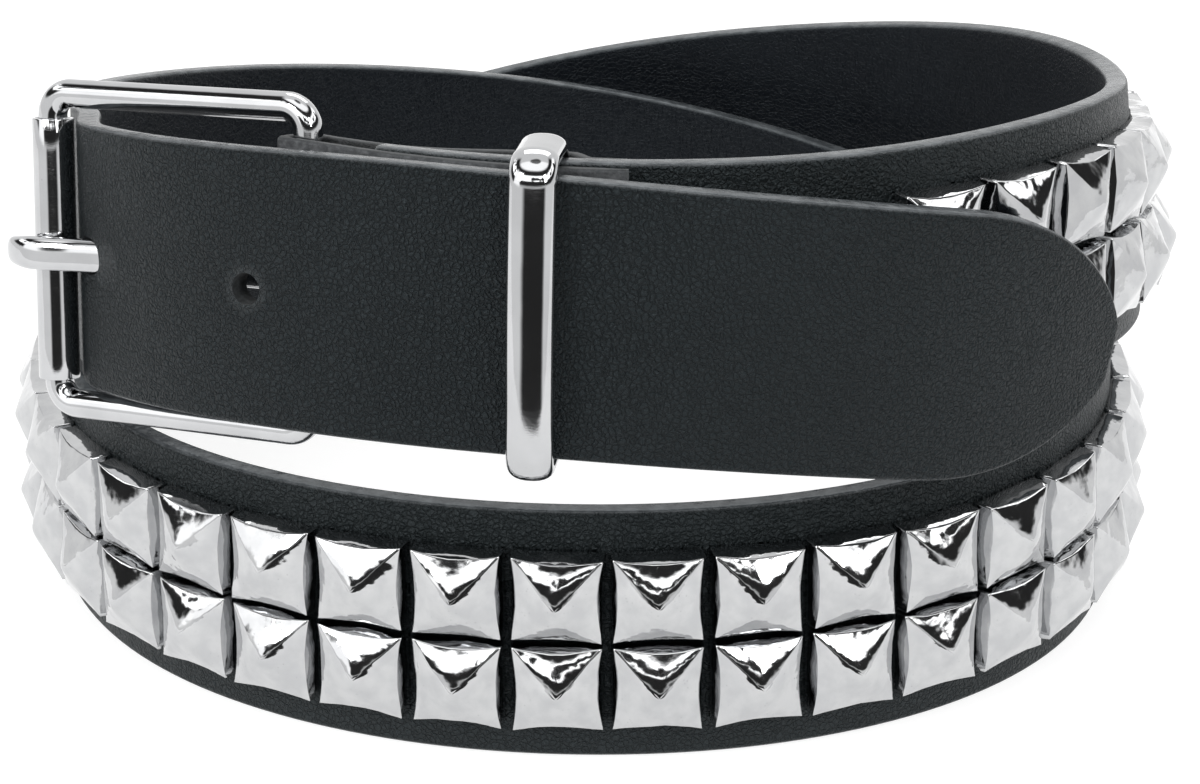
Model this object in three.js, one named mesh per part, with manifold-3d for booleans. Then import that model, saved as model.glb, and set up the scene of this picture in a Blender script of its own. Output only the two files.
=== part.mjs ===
// A studded leather belt, fastened and wound into a coil of two turns that stands on its long edge.
// Millimetres. +Z is up, -Y is the front and +X the right, and the buckle is at the front left.
// The strap starts at the buckle's heel bar, goes right round the coil twice, rising again at the
// left, passes behind the roller and lies over the front to its rounded tip.

import * as THREE from "three";
import { mergeVertices } from "three/addons/utils/BufferGeometryUtils.js";
import Module from "manifold-3d";

const wasm = await Module();
wasm.setup();

// Clearances
const seatGap = 0.3; // between pieces that touch
const lapPlay = 1.5; // between the chape's outer leg and the strap's tip end, for the rivet heads
const nestPlay = 0.9; // between a turn and the stud points of the turn beside it

// Strap
const strapWidth = 38;
const strapThickness = 3.4;
const strapBevel = 0.7; // taken off each long edge
const strapStep = 9.6; // length of one flat along the strap
const strapSetback = 10; // from the heel bar to the strap's end between the chape's legs
const tipLength = 30; // of the rounded point
const tipFlat = 3; // half height of the blunt end
const tipFlats = 10; // flats round the point
const tipBelly = 2.1; // powers that round the point's two sides
const tipNose = 0.72;
const dipReach = 24; // to each side of the roller, where the flats are half as long

// Holes for the prong
const holeDiameter = 4.4;
const holePitch = 27;
const holesBehind = 3; // on the buckle's side of the hole in use
const holesAhead = 1;
const prongHoleFromRoller = 11.5;
const tipFromLastHole = 126;

// Studs
const studSide = 13;
const studSkirt = 2.6;
const studHeight = 6;
const columnPitch = 13.63;
const rowPitch = 13.6;
const firstColumn = 87.3; // from the heel bar to the first column's middle
const studsBeforeHoles = 34; // clear length between the last column and the first hole
const webHeight = 3;
const webThickness = 0.6;
const webLap = 1.6; // into each stud

// Chape
const chapeLeg = 1.8;
const chapeStep = 3; // length of one flat along its legs
const chapeLength = 45;
const chapeInset = 0.4; // of the chape's edges from the strap's
const legFall = 3; // in which the inner leg comes down from the keeper
const chapeSlotLength = 8.6;

// Buckle frame
const barDiameter = 4.1;
const frameLength = 43; // from the heel bar's middle to the roller's middle
const framePlay = 1.4; // above and below the strap
const frameCorner = 3.3; // radius of the bar's middle line
const rollerDiameter = 5.9;
const rollerWall = 0.6;
const rollerPlay = 0.3; // at each end

// Prong
const prongWidth = 4.8;
const prongThickness = 3.2;
const prongPast = 5.6; // beyond the roller's middle
const prongEye = 1.5; // wall of the eye round the heel bar
const prongPoint = 0.45; // share of the section that is left at the tip
const prongSquareness = 0.7; // power that squares its section off

// Keeper
const keeperPlace = 33.6; // from the heel bar
const keeperWidth = 6.4;
const keeperThickness = 2.6;
const keeperPlay = 0.6; // above and below the strap
const keeperCorner = 2;

// Rivets
const rivetShank = 2.4;
const rivetHead = 4.4;
const rivetHeadHeight = 0.9;
const rivetRim = 0.3; // share of the head's height
const rivetTop = 0.7; // share of the head's width
const rivetInset = 2.8; // from the chape's end to the second rivet
const rivetPlaces = [15.5, chapeLength - rivetInset]; // from the heel bar

// Sides of the round pieces and flats along the bent ones
const barSides = 12;
const rollerSides = 16;
const holeSides = 12;
const rivetSides = 8;
const prongSides = 10;
const prongFlats = 13;
const cornerFlats = 5;
const foldFlats = 7;

// Coil
const coilReach = 82; // from the coil's axis to the middle of the strap, on average
const lapStep = strapThickness + seatGap + chapeLeg + lapPlay;
const nestStep = strapThickness + studHeight + seatGap + nestPlay;
const heelTurn = -32.2; // degrees round from the front
const turnStep = 30; // between the rows below
const firstTurn = -90;
const sampleStep = 0.25; // between the turns at which the strap's way is measured

// The strap's way round the coil, seen from above and anticlockwise from the front.
// reach is a share of coilReach, laps and nests count steps outwards over a neighbour,
// rise is the height of the strap's middle as a share of strapWidth, and lean is in degrees.
const way = [
  { reach: 0.95, laps: 0, nests: 0, rise: 1.8, lean: 15 },
  { reach: 0.93, laps: 0, nests: 0, rise: 1.8, lean: 14 },
  { reach: 0.91, laps: 0, nests: 0, rise: 1.83, lean: 12 },
  { reach: 0.88, laps: 0, nests: 0, rise: 1.82, lean: 4 },
  { reach: 0.93, laps: 0, nests: 0, rise: 1.81, lean: 3 },
  { reach: 0.99, laps: 0, nests: 0, rise: 1.79, lean: 6 },
  { reach: 1.01, laps: 0, nests: 0, rise: 1.57, lean: 9 },
  { reach: 1.11, laps: 0, nests: 0, rise: 1.45, lean: 7 },
  { reach: 1.14, laps: 0, nests: 0, rise: 1.22, lean: 5 },
  { reach: 1.13, laps: 0, nests: 0, rise: 1.01, lean: 3 },
  { reach: 1.13, laps: 0, nests: 0, rise: 0.75, lean: 1 },
  { reach: 1.12, laps: 0, nests: 0, rise: 0.54, lean: 0 },
  { reach: 1.09, laps: 0, nests: 0, rise: 0.51, lean: 1 },
  { reach: 1.03, laps: 0, nests: 0, rise: 0.51, lean: 2 },
  { reach: 0.93, laps: 0, nests: 0, rise: 0.51, lean: 3 },
  { reach: 0.89, laps: 0, nests: 0, rise: 0.51, lean: 3 },
  { reach: 0.93, laps: 0, nests: 0, rise: 0.51, lean: 3 },
  { reach: 1.01, laps: 0, nests: 0, rise: 0.51, lean: 3 },
  { reach: 1.05, laps: 0, nests: -0.4, rise: 0.51, lean: 3 },
  { reach: 1.11, laps: 0, nests: -1, rise: 0.56, lean: 1 },
  { reach: 1.12, laps: 0, nests: -1, rise: 0.68, lean: 0 },
  { reach: 1.13, laps: 0, nests: -1, rise: 0.86, lean: -1 },
  { reach: 1.13, laps: 0, nests: -1, rise: 1.06, lean: 0 },
  { reach: 1.12, laps: 0, nests: -1, rise: 1.28, lean: 1 },
  { reach: 1.05, laps: 0, nests: -0.4, rise: 1.51, lean: 4 },
  { reach: 1.1, laps: 0, nests: 0, rise: 1.74, lean: 15 },
  { reach: 0.91, laps: 1, nests: 0, rise: 1.86, lean: 12 },
  { reach: 0.89, laps: 1, nests: 0, rise: 1.84, lean: 4 },
  { reach: 0.95, laps: 0.6, nests: 0.44, rise: 1.7, lean: 0 },
  { reach: 1.03, laps: 0, nests: 1, rise: 1.37, lean: -1 },
  { reach: 1.12, laps: 0, nests: 1, rise: 1.05, lean: -2 },
  { reach: 1.17, laps: 0, nests: 1, rise: 0.75, lean: -1 },
];

// Behind the roller the strap dips inwards and stands more upright, both over a stretch
// that is given in degrees of turn
const dip = { from: 622, full: 648, leave: 655, until: 666, depth: 4 };
const stand = { from: 600, full: 650, leave: 668, until: 705, lean: 6.4 };

// Geometry to a manifold solid, its faces turned outwards where its placing mirrored it
function solid(geometry) {
  const bare = geometry.clone();
  bare.deleteAttribute("normal");
  bare.deleteAttribute("uv");
  const merged = mergeVertices(bare, 1e-4);
  const corners = merged.index.array;
  const made = (order) =>
    new wasm.Manifold(
      new wasm.Mesh({
        numProp: 3,
        vertProperties: merged.attributes.position.array,
        triVerts: new Uint32Array(order),
      })
    );
  const body = made(corners);
  return body.volume() < 0 ? made(Array.from(corners).reverse()) : body;
}

function geometryOf(body) {
  const mesh = body.getMesh();
  const points = new Float32Array(mesh.numVert * 3);
  for (let i = 0; i < mesh.numVert; i += 1) {
    points.set(mesh.vertProperties.subarray(i * mesh.numProp, i * mesh.numProp + 3), i * 3);
  }
  return new THREE.BufferGeometry()
    .setAttribute("position", new THREE.BufferAttribute(points, 3))
    .setIndex(new THREE.BufferAttribute(mesh.triVerts, 1));
}

// Route: a uniform cubic B-spline through the rows of the way
function along(column, turn) {
  const u = (turn - firstTurn) / turnStep;
  const i = Math.min(Math.max(Math.floor(u), 1), way.length - 3);
  const t = u - i;
  return (
    ((1 - t) ** 3 * way[i - 1][column] +
      (3 * t ** 3 - 6 * t ** 2 + 4) * way[i][column] +
      (-3 * t ** 3 + 3 * t ** 2 + 3 * t + 1) * way[i + 1][column] +
      t ** 3 * way[i + 2][column]) /
    6
  );
}

function shareOf(stretch, turn) {
  const on = THREE.MathUtils.smoothstep(turn, stretch.from, stretch.full);
  const off = THREE.MathUtils.smoothstep(turn, stretch.leave, stretch.until);
  return on * (1 - off);
}

function middleAt(turn, depth = dip.depth) {
  const reach =
    along("reach", turn) * coilReach +
    along("laps", turn) * lapStep +
    along("nests", turn) * nestStep -
    shareOf(dip, turn) * depth;
  const angle = THREE.MathUtils.degToRad(turn);
  return new THREE.Vector3(
    reach * Math.sin(angle),
    -reach * Math.cos(angle),
    along("rise", turn) * strapWidth
  );
}

// The strap's own directions at a turn: along it, out of its face, and across its width.
// The lean is taken without the dip, so the dip bends the strap and doesn't twist it.
function axesAt(turn) {
  const step = sampleStep;
  const easy = middleAt(turn + step, 0).sub(middleAt(turn - step, 0)).normalize();
  const level = new THREE.Vector3(easy.y, -easy.x, 0).normalize();
  const upright = new THREE.Vector3().crossVectors(easy, level).normalize();
  const lean = THREE.MathUtils.degToRad(along("lean", turn) - shareOf(stand, turn) * stand.lean);
  const across = upright.multiplyScalar(-Math.cos(lean)).addScaledVector(level, -Math.sin(lean));
  const forward = middleAt(turn + step).sub(middleAt(turn - step)).normalize();
  across.addScaledVector(forward, -across.dot(forward)).normalize();
  const out = new THREE.Vector3().crossVectors(forward, across);
  return { forward, out, across };
}

// Distance along the strap from the heel bar, sampled finely
const lastTurn = firstTurn + (way.length - 2) * turnStep;
const samples = [{ turn: heelTurn - 1, distance: 0 }];
for (let turn = heelTurn - 1 + sampleStep; turn < lastTurn; turn += sampleStep) {
  const before = samples[samples.length - 1];
  const distance = before.distance + middleAt(turn).distanceTo(middleAt(before.turn));
  samples.push({ turn, distance });
}

function distanceOf(turn) {
  const i = Math.min(Math.max(Math.ceil((turn - samples[0].turn) / sampleStep), 1), samples.length - 1);
  const share = (turn - samples[i - 1].turn) / sampleStep;
  return THREE.MathUtils.lerp(samples[i - 1].distance, samples[i].distance, share);
}

const heelDistance = distanceOf(heelTurn);

function turnOf(distance) {
  const wanted = distance + heelDistance;
  let low = 0;
  let high = samples.length - 1;
  while (high - low > 1) {
    const mid = (low + high) >> 1;
    if (samples[mid].distance < wanted) low = mid;
    else high = mid;
  }
  const share = (wanted - samples[low].distance) / (samples[high].distance - samples[low].distance);
  return THREE.MathUtils.lerp(samples[low].turn, samples[high].turn, share);
}

function frameOf(distance) {
  const turn = turnOf(distance);
  return { middle: middleAt(turn), ...axesAt(turn) };
}

// A point beside the strap: out of its face and across its width
function beside(frame, out, across) {
  return frame.middle.clone().addScaledVector(frame.out, out).addScaledVector(frame.across, across);
}

// Stands a geometry up in a frame of three directions
function place(geometry, origin, x, y, z) {
  const matrix = new THREE.Matrix4().makeBasis(x, y, z).setPosition(origin);
  return geometry.applyMatrix4(matrix);
}

// Buckle position: the roller lies on the strap's face, one frame length from the heel bar
const heel = frameOf(0);
const rollerLift = strapThickness / 2 + seatGap + rollerDiameter / 2;

function rollerDistance() {
  let near = distanceOf(stand.until) - heelDistance;
  let far = distanceOf(dip.from) - heelDistance;
  for (let i = 0; i < 40; i += 1) {
    const mid = (near + far) / 2;
    const reach = beside(frameOf(mid), rollerLift, 0).distanceTo(heel.middle);
    if (reach < frameLength) near = mid;
    else far = mid;
  }
  return near;
}

const rollerAt = rollerDistance();
const rollerMiddle = beside(frameOf(rollerAt), rollerLift, 0);
const buckle = buckleAxes();

function buckleAxes() {
  const along = rollerMiddle.clone().sub(heel.middle).normalize();
  const across = heel.across.clone();
  across.addScaledVector(along, -across.dot(along)).normalize();
  const out = new THREE.Vector3().crossVectors(across, along);
  return { along, across, out };
}

// Distances of the holes and the tip
const prongHole = rollerAt + prongHoleFromRoller;
const firstHole = prongHole - holesBehind * holePitch;
const strapEnd = prongHole + holesAhead * holePitch + tipFromLastHole;

// Strap
function strapSection() {
  const w = strapWidth / 2;
  const t = strapThickness / 2;
  const b = strapBevel;
  return new THREE.Shape([
    new THREE.Vector2(t, -w + b),
    new THREE.Vector2(t, w - b),
    new THREE.Vector2(t - b, w),
    new THREE.Vector2(-t + b, w),
    new THREE.Vector2(-t, w - b),
    new THREE.Vector2(-t, -w + b),
    new THREE.Vector2(-t + b, -w),
    new THREE.Vector2(t - b, -w),
  ]);
}

// Where the strap is cut into flats: evenly, but closer behind the roller and round the tip
function strapStations() {
  const body = strapEnd - tipLength - strapSetback;
  const count = Math.round(body / strapStep);
  const stations = [];
  for (let i = 0; i < count; i += 1) {
    const distance = strapSetback + (body * i) / count;
    stations.push(distance);
    if (Math.abs(distance - rollerAt) < dipReach) stations.push(distance + body / count / 2);
  }
  for (let i = 0; i <= tipFlats; i += 1) {
    stations.push(strapEnd - tipLength * (1 - Math.sin(((i / tipFlats) * Math.PI) / 2)));
  }
  return stations;
}

// Share of the strap's width that is left at a distance along it
function tipShare(distance) {
  const into = (distance - (strapEnd - tipLength)) / tipLength;
  if (into <= 0) return 1;
  const blunt = tipFlat / (strapWidth / 2);
  return blunt + (1 - blunt) * (1 - into ** tipBelly) ** tipNose;
}

function strapBody() {
  const stations = strapStations();
  const geometry = new THREE.ExtrudeGeometry(strapSection(), {
    depth: 1,
    steps: stations.length - 1,
    bevelEnabled: false,
  });
  const points = geometry.attributes.position;
  for (let i = 0; i < points.count; i += 1) {
    const distance = stations[Math.round(points.getZ(i) * (stations.length - 1))];
    const across = points.getY(i) * tipShare(distance);
    const point = beside(frameOf(distance), points.getX(i), across);
    points.setXYZ(i, point.x, point.y, point.z);
  }
  return solid(geometry);
}

// A round bar right through the strap and the chape at a distance along the strap
function drill(distance, diameter) {
  const frame = frameOf(distance);
  const length = 4 * (strapThickness + chapeLeg + keeperThickness);
  const bar = new THREE.CylinderGeometry(diameter / 2, diameter / 2, length, holeSides);
  return solid(place(bar, frame.middle, frame.forward, frame.out, frame.across));
}

function makeStrap() {
  let body = strapBody();
  for (let i = 0; i <= holesBehind + holesAhead; i += 1) {
    const distance = firstHole + i * holePitch;
    if (i !== holesBehind) body = body.subtract(drill(distance, holeDiameter));
  }
  for (const distance of rivetPlaces) {
    body = body.subtract(drill(distance, rivetShank + 2 * seatGap));
  }
  return body.subtract(prongBar(seatGap));
}

// Stud: a four-sided pyramid on a short skirt, its base towards the leather
function studAt(distance, across) {
  const frame = frameOf(distance);
  const half = studSide / 2;
  const corner = Math.SQRT2;
  const profile = [
    new THREE.Vector2(0, 0),
    new THREE.Vector2(half * corner, 0),
    new THREE.Vector2(half * corner, studSkirt),
    new THREE.Vector2(0, studHeight),
  ];
  const geometry = new THREE.LatheGeometry(profile, 4).rotateY(Math.PI / 4);
  const seat = beside(frame, strapThickness / 2 + seatGap, across);
  return solid(place(geometry, seat, frame.across, frame.out, frame.forward));
}

// Thin web between the skirts of two neighbouring studs
function webAt(distance, across) {
  const lift = strapThickness / 2 + seatGap + studSkirt / 2;
  const before = frameOf(distance - columnPitch / 2);
  const after = frameOf(distance + columnPitch / 2);
  const a = beside(before, lift, across).addScaledVector(before.forward, studSide / 2);
  const b = beside(after, lift, across).addScaledVector(after.forward, -studSide / 2);
  const run = b.clone().sub(a);
  const length = run.length() + 2 * webLap;
  run.normalize();
  const up = before.across.clone().add(after.across);
  up.addScaledVector(run, -up.dot(run)).normalize();
  const out = new THREE.Vector3().crossVectors(run, up);
  const web = new THREE.BoxGeometry(length, webThickness, webHeight);
  return solid(place(web, a.add(b).multiplyScalar(0.5), run, out, up));
}

const lastColumn = firstHole - studsBeforeHoles;
const columns = Math.floor((lastColumn - firstColumn) / columnPitch) + 1;

function makeStudRow(across) {
  const bodies = [];
  for (let i = 0; i < columns; i += 1) {
    const distance = firstColumn + i * columnPitch;
    bodies.push(studAt(distance, across));
    if (i > 0) bodies.push(webAt(distance - columnPitch / 2, across));
  }
  return wasm.Manifold.union(bodies);
}

// Chape: a leather tab folded round the heel bar, its inner leg bulging over the keeper
const keeperStart = keeperPlace - keeperWidth / 2 - seatGap;
const keeperEnd = keeperPlace + keeperWidth / 2 + seatGap;

function legBulge(distance) {
  const rising = THREE.MathUtils.smoothstep(distance, strapSetback, keeperStart);
  const falling = THREE.MathUtils.smoothstep(distance, keeperEnd, keeperEnd + legFall);
  return (keeperThickness + 2 * seatGap) * rising * (1 - falling);
}

// Where the legs are cut into flats: evenly before, beside and past the keeper
function legStops() {
  const ends = [0, keeperStart, keeperEnd, keeperEnd + legFall, chapeLength];
  const stops = [0];
  for (let i = 1; i < ends.length; i += 1) {
    const run = ends[i] - ends[i - 1];
    const flats = Math.ceil(run / chapeStep);
    for (let k = 1; k <= flats; k += 1) stops.push(ends[i - 1] + (run * k) / flats);
  }
  return stops;
}

function chapeOutline() {
  const inner = strapThickness / 2 + seatGap;
  const fold = barDiameter / 2 + seatGap;
  const ease = (x) => Math.max(inner, fold - ((fold - inner) * x) / strapSetback);
  const stops = legStops();
  const legs = (lift) => ({
    outer: stops.map((x) => new THREE.Vector2(x, ease(x) + lift)),
    inner: stops.map((x) => new THREE.Vector2(x, -ease(x) - lift - legBulge(x))),
  });
  const bend = (radius) => {
    const arc = [];
    for (let i = 1; i < foldFlats; i += 1) {
      const angle = Math.PI / 2 + (Math.PI * i) / foldFlats;
      arc.push(new THREE.Vector2(radius * Math.cos(angle), radius * Math.sin(angle)));
    }
    return arc;
  };
  const outside = legs(chapeLeg);
  const inside = legs(0);
  return [
    ...outside.outer.slice().reverse(),
    ...bend(fold + chapeLeg),
    ...outside.inner,
    ...inside.inner.slice().reverse(),
    ...bend(fold).reverse(),
    ...inside.outer,
  ];
}

// The chape's fold follows the heel bar, and its legs follow the strap from the strap's end on
function chapeFrame(x) {
  const frame = frameOf(Math.max(x, 0));
  const share = THREE.MathUtils.smoothstep(x, 0, strapSetback);
  const across = buckle.across.clone().lerp(frame.across, share).normalize();
  const forward = frame.forward.clone();
  forward.addScaledVector(across, -forward.dot(across)).normalize();
  const out = new THREE.Vector3().crossVectors(forward, across);
  const middle = frame.middle.clone();
  if (x < 0) middle.addScaledVector(forward, x);
  return { middle, forward, out, across };
}

function makeChape() {
  const width = strapWidth - 2 * chapeInset;
  const geometry = new THREE.ExtrudeGeometry(new THREE.Shape(chapeOutline()), {
    depth: width,
    steps: 1,
    bevelEnabled: false,
  });
  const points = geometry.attributes.position;
  for (let i = 0; i < points.count; i += 1) {
    const x = points.getX(i);
    const point = beside(chapeFrame(x), points.getY(i), points.getZ(i) - width / 2);
    points.setXYZ(i, point.x, point.y, point.z);
  }
  let body = solid(geometry);
  const slotWidth = prongWidth + 4 * seatGap;
  const slotDepth = 2 * (barDiameter + 2 * chapeLeg);
  const back = barDiameter + 2 * chapeLeg;
  const slot = new THREE.BoxGeometry(back + chapeSlotLength, slotDepth, slotWidth);
  slot.translate((chapeSlotLength - back) / 2, 0, 0);
  const fold = chapeFrame(0);
  body = body.subtract(solid(place(slot, heel.middle, fold.forward, fold.out, fold.across)));
  for (const distance of rivetPlaces) {
    body = body.subtract(drill(distance, rivetShank + 2 * seatGap));
  }
  return body;
}

// A closed ring of a section, swept round a rounded rectangle.
// The rectangle lies across and along the two directions given, the section's depth on the third.
function ringOf({ middle, across, along, out, halfAcross, halfAlong, corner, section }) {
  const path = [];
  for (let quarter = 0; quarter < 4; quarter += 1) {
    const sx = quarter === 0 || quarter === 3 ? 1 : -1;
    const sy = quarter < 2 ? 1 : -1;
    for (let i = 0; i <= cornerFlats; i += 1) {
      const angle = (Math.PI / 2) * (quarter + i / cornerFlats);
      const normal = new THREE.Vector2(Math.cos(angle), Math.sin(angle));
      const x = sx * (halfAlong - corner) + corner * normal.x;
      const y = sy * (halfAcross - corner) + corner * normal.y;
      path.push({ x, y, normal });
    }
  }
  const sides = section.length;
  const torus = new THREE.TorusGeometry(halfAlong, corner, sides, path.length);
  const points = torus.attributes.position;
  for (let j = 0; j <= sides; j += 1) {
    for (let i = 0; i <= path.length; i += 1) {
      const stop = path[i % path.length];
      const { off, depth } = section[j % sides];
      const x = stop.x + stop.normal.x * off;
      const y = stop.y + stop.normal.y * off;
      const point = middle
        .clone()
        .addScaledVector(along, x)
        .addScaledVector(across, y)
        .addScaledVector(out, depth);
      points.setXYZ(j * (path.length + 1) + i, point.x, point.y, point.z);
    }
  }
  return solid(torus);
}

function roundSection(diameter, sides) {
  const section = [];
  for (let i = 0; i < sides; i += 1) {
    const angle = (2 * Math.PI * i) / sides;
    section.push({ off: (diameter / 2) * Math.cos(angle), depth: (diameter / 2) * Math.sin(angle) });
  }
  return section;
}

// Buckle frame: one round bar bent to a rounded rectangle
const frameHalfHeight = strapWidth / 2 + framePlay + barDiameter / 2;

function makeFrame() {
  return ringOf({
    middle: heel.middle.clone().add(rollerMiddle).multiplyScalar(0.5),
    across: buckle.across,
    along: buckle.along,
    out: buckle.out,
    halfAcross: frameHalfHeight,
    halfAlong: frameLength / 2,
    corner: frameCorner,
    section: roundSection(barDiameter, barSides),
  });
}

// A tube as a closed lathe profile
function tube(inner, outer, length, sides) {
  const h = length / 2;
  const profile = [
    new THREE.Vector2(inner, -h),
    new THREE.Vector2(outer, -h),
    new THREE.Vector2(outer, h),
    new THREE.Vector2(inner, h),
    new THREE.Vector2(inner, -h),
  ];
  return new THREE.LatheGeometry(profile, sides);
}

function makeRoller() {
  const length = 2 * (frameHalfHeight - frameCorner - rollerPlay);
  const outer = rollerDiameter / 2;
  const geometry = tube(outer - rollerWall, outer, length, rollerSides);
  return solid(place(geometry, rollerMiddle, buckle.along, buckle.across, buckle.out));
}

// Prong: an eye round the heel bar and a bar that lies on the roller and bends over it.
// length is a share of frameLength, past of prongPast, and lift of the height at which it rests.
const prongLine = [
  { length: 0, past: 0, lift: 0.56 },
  { length: 0.25, past: 0, lift: 0.55 },
  { length: 0.6, past: 0, lift: 0.5 },
  { length: 0.84, past: 0, lift: 0.72 },
  { length: 1, past: 0, lift: 1 },
  { length: 1, past: 0.6, lift: 0.86 },
  { length: 1, past: 1, lift: 0.45 },
];

function prongPath() {
  const rest = rollerDiameter / 2 + seatGap + prongThickness / 2;
  return prongLine.map(
    (row) => new THREE.Vector3(row.length * frameLength + row.past * prongPast, row.lift * rest, 0)
  );
}

function prongBar(extra) {
  const line = new THREE.CatmullRomCurve3(prongPath());
  const half = prongThickness / 2 + extra;
  const wide = prongWidth / 2 + extra;
  const section = [];
  for (let i = 0; i < prongSides; i += 1) {
    const angle = (2 * Math.PI * (i + 0.5)) / prongSides;
    const square = (v) => Math.sign(v) * Math.abs(v) ** prongSquareness;
    section.push(new THREE.Vector2(half * square(Math.cos(angle)), wide * square(Math.sin(angle))));
  }
  const geometry = new THREE.ExtrudeGeometry(new THREE.Shape(section), {
    depth: 1,
    steps: prongFlats,
    bevelEnabled: false,
  });
  const points = geometry.attributes.position;
  for (let i = 0; i < points.count; i += 1) {
    const share = points.getZ(i);
    const at = line.getPointAt(share);
    const run = line.getTangentAt(share);
    const taper = Math.min(1, prongPoint + ((1 - share) * line.getLength()) / (2 * prongThickness));
    const off = points.getX(i) * taper;
    const x = at.x - run.y * off;
    const y = at.y + run.x * off;
    const point = heel.middle
      .clone()
      .addScaledVector(buckle.along, x)
      .addScaledVector(buckle.out, y)
      .addScaledVector(buckle.across, points.getY(i) * taper);
    points.setXYZ(i, point.x, point.y, point.z);
  }
  return solid(geometry);
}

function makeProng() {
  const inner = barDiameter / 2 + seatGap;
  const outer = inner + prongEye;
  const eye = new THREE.CylinderGeometry(outer, outer, prongWidth, rollerSides);
  const bore = new THREE.CylinderGeometry(inner, inner, prongWidth * 2, rollerSides);
  const atHeel = (g) => solid(place(g, heel.middle, buckle.along, buckle.across, buckle.out));
  return prongBar(0).add(atHeel(eye)).subtract(atHeel(bore));
}

// Keeper: a metal loop round both ends of the strap, its back bar inside the chape's inner leg
function keeperBox() {
  const frame = frameOf(keeperPlace);
  const box = new THREE.Box2();
  const half = keeperWidth / 2;
  const over = distanceOver(frame);
  for (const shift of [-half, 0, half]) {
    addCorners(box, frame, frameOf(keeperPlace + shift));
    addCorners(box, frame, frameOf(over + shift));
  }
  box.min.x -= seatGap;
  box.max.x += seatGap;
  box.min.y -= keeperPlay;
  box.max.y += keeperPlay;
  return { frame, box };
}

// Grows a box, out of and across a frame, by the corners of the strap's section at another
function addCorners(box, frame, other) {
  for (const out of [-0.5, 0.5]) {
    for (const across of [-0.5, 0.5]) {
      const corner = beside(other, out * strapThickness, across * strapWidth).sub(frame.middle);
      box.expandByPoint(new THREE.Vector2(corner.dot(frame.out), corner.dot(frame.across)));
    }
  }
}

// Where the tip end lies over a frame of the buckle end
function distanceOver(frame) {
  let best = rollerAt;
  let least = Infinity;
  for (let distance = rollerAt; distance < strapEnd; distance += 0.5) {
    const off = Math.abs(frameOf(distance).middle.sub(frame.middle).dot(frame.forward));
    if (off < least) {
      least = off;
      best = distance;
    }
  }
  return best;
}

// Its section: thick is a share of keeperThickness and wide of half of keeperWidth
const keeperDome = [
  { thick: 0, wide: -0.8 },
  { thick: 0, wide: 0.8 },
  { thick: 0.2, wide: 1 },
  { thick: 0.55, wide: 0.94 },
  { thick: 0.85, wide: 0.6 },
  { thick: 1, wide: 0 },
  { thick: 0.85, wide: -0.6 },
  { thick: 0.55, wide: -0.94 },
  { thick: 0.2, wide: -1 },
];

function keeperSection() {
  return keeperDome.map((row) => ({
    off: row.thick * keeperThickness,
    depth: (row.wide * keeperWidth) / 2,
  }));
}

function makeKeeper() {
  const { frame, box } = keeperBox();
  const middle = box.getCenter(new THREE.Vector2());
  const size = box.getSize(new THREE.Vector2());
  return ringOf({
    middle: beside(frame, middle.x, middle.y),
    across: frame.across,
    along: frame.out,
    out: frame.forward,
    halfAcross: size.y / 2,
    halfAlong: size.x / 2,
    corner: keeperCorner,
    section: keeperSection(),
  });
}

// Rivet: a shank with a low head on each leg of the chape, seated on the highest of the leg below it
function makeRivet(distance) {
  const face = strapThickness / 2 + chapeLeg + 2 * seatGap;
  const head = rivetHead / 2;
  const raised = Math.max(legBulge(distance - head), legBulge(distance), legBulge(distance + head));
  const shank = rivetShank / 2;
  const end = (at, sign) => [
    new THREE.Vector2(shank, sign * at),
    new THREE.Vector2(head, sign * at),
    new THREE.Vector2(head, sign * (at + rivetHeadHeight * rivetRim)),
    new THREE.Vector2(head * rivetTop, sign * (at + rivetHeadHeight)),
    new THREE.Vector2(0, sign * (at + rivetHeadHeight)),
  ];
  const profile = [...end(face + raised, -1).reverse(), ...end(face, 1)];
  const frame = frameOf(distance);
  const geometry = new THREE.LatheGeometry(profile, rivetSides);
  return solid(place(geometry, frame.middle, frame.across, frame.out, frame.forward));
}

// Scene
const leather = { color: 0x1d2224, roughness: 0.55, metalness: 0 };
const chrome = { color: 0xc9cccf, roughness: 0.18, metalness: 1 };
const nickel = { color: 0xbfc2c6, roughness: 0.25, metalness: 1 };

const belt = new THREE.Group();

function addPiece(name, body, look) {
  const mesh = new THREE.Mesh(geometryOf(body), new THREE.MeshStandardMaterial(look));
  mesh.name = name;
  mesh.geometry.computeVertexNormals();
  belt.add(mesh);
}

addPiece("strap", makeStrap(), leather);
addPiece("stud_row_upper", makeStudRow(rowPitch / 2), nickel);
addPiece("stud_row_lower", makeStudRow(-rowPitch / 2), nickel);
addPiece("buckle_chape", makeChape(), leather);
addPiece("buckle_frame", makeFrame(), chrome);
addPiece("buckle_roller", makeRoller(), chrome);
addPiece("buckle_prong", makeProng(), chrome);
addPiece("keeper", makeKeeper(), chrome);
rivetPlaces.forEach((distance, i) => {
  addPiece(`chape_rivet_${i + 1}`, makeRivet(distance), nickel);
});

// The origin is at the middle of the whole belt's foot
const box = new THREE.Box3().setFromObject(belt);
const foot = box.getCenter(new THREE.Vector3());
belt.position.set(-foot.x, -foot.y, -box.min.z);
belt.updateMatrixWorld(true);

export default belt;
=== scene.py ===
import math

import bmesh
import bpy
from mathutils import Matrix, Vector


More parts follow.
